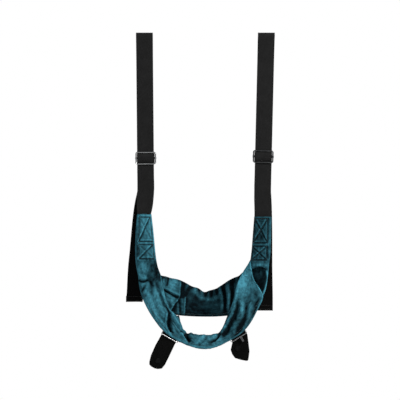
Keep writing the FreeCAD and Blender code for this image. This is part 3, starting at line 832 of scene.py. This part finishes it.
BACK_FLAPS = [
    (7.0, 16.0, [(-61, -606), (-59, -584), (-57, -566)]),
    (5.0, 12.0, [(-98, -580), (-80, -592), (-60, -605)]),
    (5.0, 12.0, [(-82, -638), (-73, -620), (-62, -606)]),
    (3.5, 6.0, [(-48, -645), (-47, -622), (-45, -602)]),
]
BACK_CREASES = [
    (4.0, 2.6, [(-96, -582), (-80, -594), (-60, -604)]),
    (3.5, 2.6, [(-87, -607), (-80, -628)]),
    (3.5, 2.4, [(-60, -602), (-59, -620), (-58, -645)]),
    (4.0, 4.0, [(38, -575), (46, -606), (44, -644)]),
    (4.0, 4.0, [(58, -566), (62, -600), (55, -640)]),
    (3.0, 4.0, [(80, -560), (84, -592), (78, -628)]),
]
BACK_STROKES = [
    (0.45, 2.0, [(-95, -558), (-94.5, -570), (-93, -584)]),
    (-0.7, 2.0, [(-84, -556), (-86, -566), (-88, -577)]),
    (-0.8, 2.0, [(-98, -582), (-76, -595), (-61, -603)]),
    (0.30, 1.4, [(-61, -600), (-60, -622), (-61, -645)]),
    (0.25, 1.4, [(-46, -600), (-47, -622), (-47, -645)]),
    (0.24, 4.0, [(-26, -580), (-12, -601), (18, -608), (40, -588)]),
    (0.20, 2.0, [(44, -575), (50, -600), (46, -640)]),
    (0.9, 1.8, [(139, -538), (142, -553), (141, -569), (131, -598)]),
]
BACK_SPOTS = [
    (0.35, -81, -609, 9, 12), (0.20, -68, -569, 10, 8), (0.55, -76, -576, 15, 22),
    (0.30, -80, -612, 13, 16), (0.10, -52, -624, 7, 20), (0.10, 18, -622, 22, 16), (0.10, -24, -592, 14, 8),
]

TAB_BOXES = {
    "left": [[(-149.5, -419), (-125.5, -419), (-119.5, -474), (-150.5, -474)],
             [(-150.5, -481), (-118.5, -481), (-116.5, -513), (-150, -513)]],
    "right": [[(112, -422), (142, -422), (141, -477), (108.5, -477)],
              [(106, -485), (140, -485), (139, -516), (104.5, -516)]],
}
# How hard each row of a tab's boxes draws the cloth in, in the order of box_rows.
ROW_PULL = {"left": (0.9, 0.45, 1.0, 0.4, 0.3, 1.0), "right": (0.8, 0.6, 0.9, 0.7, 0.9, 0.9)}


def box_rows(box):
    """The rows of a sewn box with a cross: its top, right, bottom and left, then its two diagonals."""
    rows = [(box[k], box[(k + 1) % 4]) for k in range(4)]
    return rows + [(box[0], box[2]), (box[1], box[3])]


def quilting(points, name, deep):
    """How far a tab's rows of sewing pull the cloth in, and how dark its pile gets along them: crushed pile
    and painted shade.

    The pile above a row is painted light as a highlight, where the cloth rolls over into it.
    """
    sewn, light = np.zeros(len(points)), np.zeros(len(points))
    near = np.full(len(points), 1e9)
    for box in TAB_BOXES[name]:
        for (a, b), pull in zip(box_rows(box), ROW_PULL[name]):
            far, _, side = segment_distance(points, np.array(a, float), np.array(b, float))
            above = side if b[0] > a[0] else -side
            near = np.minimum(near, far)
            sewn = np.maximum(sewn, pull * np.exp(-(far / 1.25) ** 2))
            light = np.maximum(light, pull * np.where(above > 0, np.exp(-((far - 2.9) / 1.3) ** 2), 0))
    puff = np.exp(-((near - 4.4) / 2.4) ** 2)
    return 0.6 * deep * puff - 1.2 * deep * sewn, 0.6 * sewn - 0.5 * light * (sewn < 0.3)


def crossing(flat, seed):
    """Fine creases that cross a band at a slant: 1 along each crease, lower between them."""
    slant = np.stack([flat[:, 0] + 0.6 * flat[:, 1], flat[:, 1] - 0.6 * flat[:, 0], flat[:, 2]], axis=1)
    return 1 - 2 * np.abs(rough(slant, (7, 19, 1), seed))


def wrinkles(shell, seed, height):
    """Soft uneven creases that run along a band, and finer ones across it."""
    flat = shell.flat().reshape(-1, 3)
    long = rough(flat, (13, 60, 1), seed)
    short = rough(flat, (8, 17, 1), seed + 1)
    return height * (0.8 * (1 - 2 * np.abs(long)) + 0.45 * short + 0.3 * crossing(flat, seed + 2))


def front_band():
    """The left tab's front and the front band, as one velvet shell that ends behind the right tab."""
    shell = Shell(FRONT_INNER, FRONT_OUTER, FRONT_DEPTHS, bow=1.5)
    seen = shell.seen()
    sewn, crushed_and_shaded = quilting(seen, "left", 2.2)
    below = 1 - ease(seen[:, 1], -545, -515)
    height = sewn + creases(seen, FRONT_CREASES) * below.clip(0.2, 1)
    shell.push(height + wrinkles(shell, 3, 1.3) * (0.3 + 0.7 * below))
    shell.push(wrinkles(shell, 5, 1.2) * below, "back")
    # The pile's lightness holds painted highlight and painted shade: spots, strokes, sewing rows and creases,
    # and a painted highlight along the edges.
    pile_and_painted_light = painted(seen, 0.30, FRONT_SPOTS) + painted_light_lines(seen, FRONT_STROKES) - crushed_and_shaded
    pile_and_painted_light = pile_and_painted_light - crease_shade_and_highlight(seen, FRONT_CREASES) * below
    pile_and_painted_light = np.clip(pile_and_painted_light + 0.30 * shell.mottle(31) + 0.16 * shell.edges(2.2), 0, 1)
    nap_back = np.clip(0.26 + 0.25 * shell.mottle(33), 0, 1)
    obj = shell.build("front_band_velvet", pile_and_painted_light, nap_back, VELVET)
    crumple(obj, shell.held(1 - below), 2.0, 0.07, 4.0)
    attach(obj, "sling")
    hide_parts("front_band_cover", "front_band_lining", "front_band_padding", "left_tab_front")
    return obj, shell


def back_band():
    """Both tabs' backs and the back band, gathered along its top by the elastic."""
    shell = Shell(BACK_INNER, BACK_OUTER, BACK_DEPTHS, bow=-1.5)
    seen = shell.seen()
    rings, rows = shell.front.shape[:2]
    from_top = (1 - shell.v)[None, :] * shell.width[:, None]
    s = np.broadcast_to(shell.s[:, None], (rings, rows))
    middle = ease(np.abs(s / shell.s[-1] - 0.5), 0.16, 0.24)
    ripple = np.sin(s / 3.4 + 1.3 * np.sin(s / 17.0)) * np.exp(-(from_top / 19) ** 2) * 3.6 * (1 - middle)
    below = 1 - ease(seen[:, 1], -545, -520)
    height = creases(seen, BACK_CREASES) + flaps(seen, BACK_FLAPS) + wrinkles(shell, 11, 1.4)
    shell.push(height * below + ripple.ravel())
    shell.push(wrinkles(shell, 12, 1.2) * below - ripple.ravel(), "back")
    wave = np.sin(s / 8.3 + 1.1 * np.sin(s / 23.0) + 0.9)
    scallop = 1.5 * wave * np.exp(-(from_top / 7) ** 2) * (1 - middle)
    shell.front[..., 2] += scallop
    shell.back[..., 2] += scallop
    # The pile's lightness holds painted highlight and painted shade: spots, strokes, creases and folded
    # edges, a painted highlight along the right rim, and lighter crests and darker troughs along the gathers.
    pile_and_painted_light = painted(seen, 0.02, BACK_SPOTS) + painted_light_lines(seen, BACK_STROKES)
    pile_and_painted_light = pile_and_painted_light - crease_shade_and_highlight(seen, BACK_CREASES) + fold_highlight_and_shadow(seen, BACK_FLAPS)
    pile_and_painted_light = pile_and_painted_light + 0.10 * shell.mottle(41) + 0.5 * shell.edges(2.0) * ease(seen[:, 0], 118, 128)
    pile_and_painted_light = np.clip(pile_and_painted_light + 0.035 * ripple.ravel(), 0, 1)
    nap_back = np.clip(0.26 + 0.25 * shell.mottle(43), 0, 1)
    obj = shell.build("back_band_velvet", pile_and_painted_light, nap_back, VELVET)
    crumple(obj, shell.held(1 - below), 2.0, 0.07, 4.0)
    for name, cover in (("left", 1.2), ("right", 4.4)):
        swell(obj, name + "_snap_stud", -4.0, 1)
        swell(obj, name + "_snap_washer", cover, -1)
    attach(obj, "sling")
    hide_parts("back_band_cover", "back_band_lining", "back_band_padding", "back_band_elastic",
                "left_tab_back", "right_tab_back")
    return obj, shell


RIGHT_TAB_INNER = [
    (112, -3.2, -418), (109.5, -3.4, -450), (106, -3.6, -485), (103, -4, -512), (103.5, -3.5, -530),
    (106, 0, -538),
]
RIGHT_TAB_OUTER = [
    (150.5, -2.6, -418), (149.5, -2.8, -450), (148.5, -3, -485), (146.5, -3.4, -512), (143.5, -3, -530),
    (141, 1, -538),
]
RIGHT_TAB_DEPTHS = [(2.2, -0.4), (2.4, -0.3), (2.6, -0.2), (3.2, 0.2), (3.6, 0.6), (1.0, 0.6)]
# Spots of painted highlight on the tab's rolled lower edge and along its outer edge.
RIGHT_TAB_SPOTS = [(0.46, 124, -529, 18, 8), (0.14, 146, -470, 3.5, 60), (0.07, 122, -500, 18, 18)]


def right_tab():
    """The right tab's front: velvet sewn to the webbing, whose lower edge rolls back to the back band."""
    shell = Shell(RIGHT_TAB_INNER, RIGHT_TAB_OUTER, RIGHT_TAB_DEPTHS)
    seen = shell.seen()
    sewn, crushed_and_shaded = quilting(seen, "right", 2.2)
    shell.push(sewn + wrinkles(shell, 21, 0.5))
    arch = 7 * np.sin(math.pi * shell.v)[None, :] * ease(shell.s, shell.s[-1] - 14, shell.s[-1])[:, None]
    shell.front[..., 2] += arch
    shell.back[..., 2] += arch
    # The tab's pile starts darker than the front band's as painted shade, with painted shade along the sewing
    # rows, painted highlight above them, on the spots and along the edges.
    pile_and_painted_light = painted(seen, 0.12, RIGHT_TAB_SPOTS) - 0.6 * crushed_and_shaded + 0.16 * shell.mottle(51)
    pile_and_painted_light = np.clip(pile_and_painted_light + 0.12 * shell.edges(1.6), 0, 1)
    obj = shell.build("right_tab_velvet", pile_and_painted_light, np.full(len(seen), 0.1), VELVET)
    crumple(obj, shell.held(np.clip(2.2 * crushed_and_shaded, 0, 1)), 1.0, 0.03, 1.5)
    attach(obj, "sling")
    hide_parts("right_tab_front")
    return obj


def edge_rows(shell, inset, first, last):
    """Points (x, z) along a shell's front, inset from its outer edge, for a row of topstitching."""
    column = int(np.argmin(np.abs(shell.v - inset)))
    line = shell.front[:, column]
    start, end = (int(share * (len(line) - 1)) for share in (first, last))
    return [(p[0], p[2]) for p in line[start:end:3]]


def sewing(name, velvet, runs, node):
    """Rows of teal stitches on the front of a velvet piece."""
    surface = tree_of(velvet)
    made = []
    for corners in runs:
        made += stitch_run(surface, corners)
    obj = stitches(name, made, TEAL_THREAD)
    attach(obj, "sling")
    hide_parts(node)


# ---- lower straps, loops and tabs ----

def loop_matrix(side):
    """From the frame of a lower metal loop, whose top bar is along its x axis, to the sling's."""
    turn = Matrix.Rotation(math.radians(-side["sign"] * side["yaw"]), 4, "Z")
    lean = Matrix.Rotation(math.radians(-side["sign"] * side["lean"]), 4, "Y")
    return Matrix.Translation(Vector(side["loop_centre"])) @ turn @ lean


def moved(matrix, points):
    matrix = np.array(matrix)
    return np.asarray(points, float) @ matrix[:3, :3].T + matrix[:3, 3]


def leg_strap(name, side):
    """A strap from just under the back band's hem down round the top bar of the loop and up again."""
    matrix = loop_matrix(side)
    radius = LOOP_WIRE_R + 0.3 + WEB_T / 2
    turns = np.radians(np.linspace(180, 360, 13))
    local = [(0, -radius, z) for z in np.linspace(LEG_TURN, 0.5, 5)]
    local += [(0, radius * math.cos(a), radius * math.sin(a)) for a in turns]
    local += [(0, radius, z) for z in np.linspace(0.5, LEG_TURN, 5)]
    line = moved(matrix, local)
    top = np.array(side["strap_top"])
    depth = line[-1] - line[0]
    up_front = [top - depth / 2 + (line[0] - top + depth / 2) * k for k in np.linspace(0, 0.8, 5)]
    up_rear = [top + depth / 2 + (line[-1] - top - depth / 2) * k for k in np.linspace(0.8, 0, 5)]
    line = np.concatenate([up_front, line, up_rear])
    lower = np.array(matrix.to_3x3() @ Vector((1, 0, 0)))
    upper = np.array(Matrix.Rotation(math.radians(-side["sign"] * side["yaw"]), 3, "Z") @ Vector((1, 0, 0)))
    share = np.clip((line[:, 2] - line[5:-5, 2].max()) / (top[2] - line[5:-5, 2].max()), 0, 1)[:, None]
    across = lower * (1 - share) + upper * share
    obj = ribbon(name + "_leg_webbing", line, across, -LEG_W / 2, LEG_W / 2, WEBBING_PAINTED_SHADE)
    length = float(lengths(line)[-1])
    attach(obj, "sling")
    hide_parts(name + "_leg_strap")


def leg_tab(name, side):
    """Webbing folded over the middle bar, with both layers sewn together and cut to the tab's outline."""
    matrix = loop_matrix(side)
    bottom = side["tab_left"][-1][0]
    radius = LOOP_WIRE_R + 0.2 + WEB_T / 2
    rows = []
    for d in np.arange(bottom, 2 * LOOP_PITCH, -1.5):
        rows.append((TAB_REAR_Y, -d, d))
    rows += [(TAB_REAR_Y - 0.2, -2 * LOOP_PITCH + 2, 20.0), (3.0, -17.0, 17), (radius, -13, 13)]
    for turn in np.radians(np.linspace(0, 180, 11)):
        rows.append((radius * math.cos(turn), -LOOP_PITCH + radius * math.sin(turn), 10.0))
    rows += [(-radius, -12.5, 12.5), (-0.4, -15.5, 15.5), (TAB_FRONT_Y - 1.0, -18.5, 18.5),
             (TAB_FRONT_Y, -21, 21)]
    for d in np.arange(2 * LOOP_PITCH + 0.5, bottom + 0.01, 1.5):
        rows.append((TAB_FRONT_Y, -d, d))
    rows = np.array(rows)
    depth = rows[:, 2]
    belly = 0.9 * np.sin(np.clip((depth - 22) / (bottom - 22), 0, 1) * math.pi)
    line = moved(matrix, np.stack([np.zeros(len(rows)), rows[:, 0] - belly, rows[:, 1]], axis=1))
    left = np.interp(depth, *np.array(side["tab_left"], float).T)
    right = np.interp(depth, *np.array(side["tab_right"], float).T)
    across = np.broadcast_to(np.array(matrix.to_3x3() @ Vector((1, 0, 0))), line.shape)
    obj = ribbon(name + "_leg_tab_webbing", line, across, left, right, WEBBING_PAINTED_SHADE, rib=0.08)
    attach(obj, name + "_leg_end")
    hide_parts(name + "_leg_tab")
    area = float(np.sum((right - left)[1:] * np.diff(lengths(line)))) * MM * MM
    long = float(lengths(line)[-1]) * MM


# ---- carried-over CAD nodes ----

def dress(nodes, material):
    """Give carried-over CAD nodes their material."""
    for node in nodes:
        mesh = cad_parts[node].data
        mesh.materials.clear()
        mesh.materials.append(material)


# ---- floor, light and camera ----

def studio():
    """A pale floor well below the hanging object, a white surround, three soft lamps and the camera."""
    scene = bpy.context.scene
    scene.view_settings.view_transform = "Standard"
    world = bpy.data.worlds.new("studio")
    world.use_nodes = True
    scene.world = world
    tree = world.node_tree
    tree.nodes.clear()
    out = tree.nodes.new("ShaderNodeOutputWorld")
    seen, lit = tree.nodes.new("ShaderNodeBackground"), tree.nodes.new("ShaderNodeBackground")
    seen.inputs["Color"].default_value = (1, 1, 1, 1)
    lit.inputs["Color"].default_value = (0.96, 0.98, 1, 1)
    lit.inputs["Strength"].default_value = 0.24
    mix = tree.nodes.new("ShaderNodeMixShader")
    path = tree.nodes.new("ShaderNodeLightPath")
    tree.links.new(path.outputs["Is Camera Ray"], mix.inputs[0])
    tree.links.new(lit.outputs[0], mix.inputs[1])
    tree.links.new(seen.outputs[0], mix.inputs[2])
    tree.links.new(mix.outputs[0], out.inputs[0])

    mesh = bpy.data.meshes.new("floor")
    half, height = 2.6, -1.35
    corners = [(-half, -half, height), (half, -half, height), (half, half, height), (-half, half, height)]
    mesh.from_pydata(corners, [], [(0, 1, 2, 3)])
    floor = bpy.data.objects.new("floor", mesh)
    scene.collection.objects.link(floor)
    pale, tree, shader = new_material("pale_floor", Roughness=0.8)
    cloud = noise_socket(tree, object_coordinates(tree), 3.0)
    colour = blend_colours(tree, cloud, (0.78, 0.78, 0.77), (0.84, 0.84, 0.83))
    tree.links.new(colour, shader.inputs["Base Color"])
    mesh.materials.append(pale)

    for name, place, size, power, colour in (
            ("key", (1.9, -1.3, 1.1), 0.5, 78, (1, 0.99, 0.97)),
            ("fill", (-1.2, -2.6, 0.3), 1.0, 9, (0.95, 0.98, 1)),
            ("rim", (0.3, 1.8, 0.9), 1.2, 20, (1, 1, 1))):
        lamp = bpy.data.lights.new(name, "AREA")
        lamp.energy, lamp.size, lamp.color = power, size, colour
        obj = bpy.data.objects.new(name, lamp)
        obj.location = place
        aim = Vector((0, 0, -0.45)) - Vector(place)
        obj.rotation_euler = aim.to_track_quat("-Z", "Y").to_euler()
        scene.collection.objects.link(obj)

    lens = bpy.data.cameras.new("camera")
    lens.lens, lens.sensor_width = 158.6, 36.0
    camera = bpy.data.objects.new("camera", lens)
    camera.location = (-0.012, -4.0, -0.380 + LIFT * MM)
    camera.rotation_euler = (math.radians(90), 0, 0)
    scene.collection.objects.link(camera)
    scene.camera = camera


def main():
    studio()
    for name, side in SIDES.items():
        handle_strap(name, side)
        tail(name, side)
        slider_hump(name, side)
        leg_strap(name, side)
        leg_tab(name, side)
        # The left slider gets the painted reflection and the right one the painted shade, of the same metal.
        dress([name + "_slider_frame", name + "_slider_bar"], GUNMETAL_PAINTED_REFLECTION if name == "left" else GUNMETAL_PAINTED_SHADE)
        dress([name + "_leg_loop"], STEEL)
        dress([name + "_snap_" + part for part in ("cap", "socket", "stud", "washer")], SNAP_METAL)
    dress(["right_leg_tongue"], STEEL)
    front, front_shell = front_band()
    back, back_shell = back_band()
    tab = right_tab()
    loops = {name: [[a, b] for box in TAB_BOXES[name] for a, b in box_rows(box)] for name in SIDES}
    sewing("left_tab_thread", front, loops["left"], "left_tab_stitching")
    sewing("right_tab_thread", tab, loops["right"], "right_tab_stitching")
    sewing("front_band_thread", front, [edge_rows(front_shell, 0.1, 0.3, 0.86)], "front_band_stitching")
    sewing("back_band_thread", back, [edge_rows(back_shell, 0.09, 0.3, 0.7)], "back_band_hem_stitching")


main()
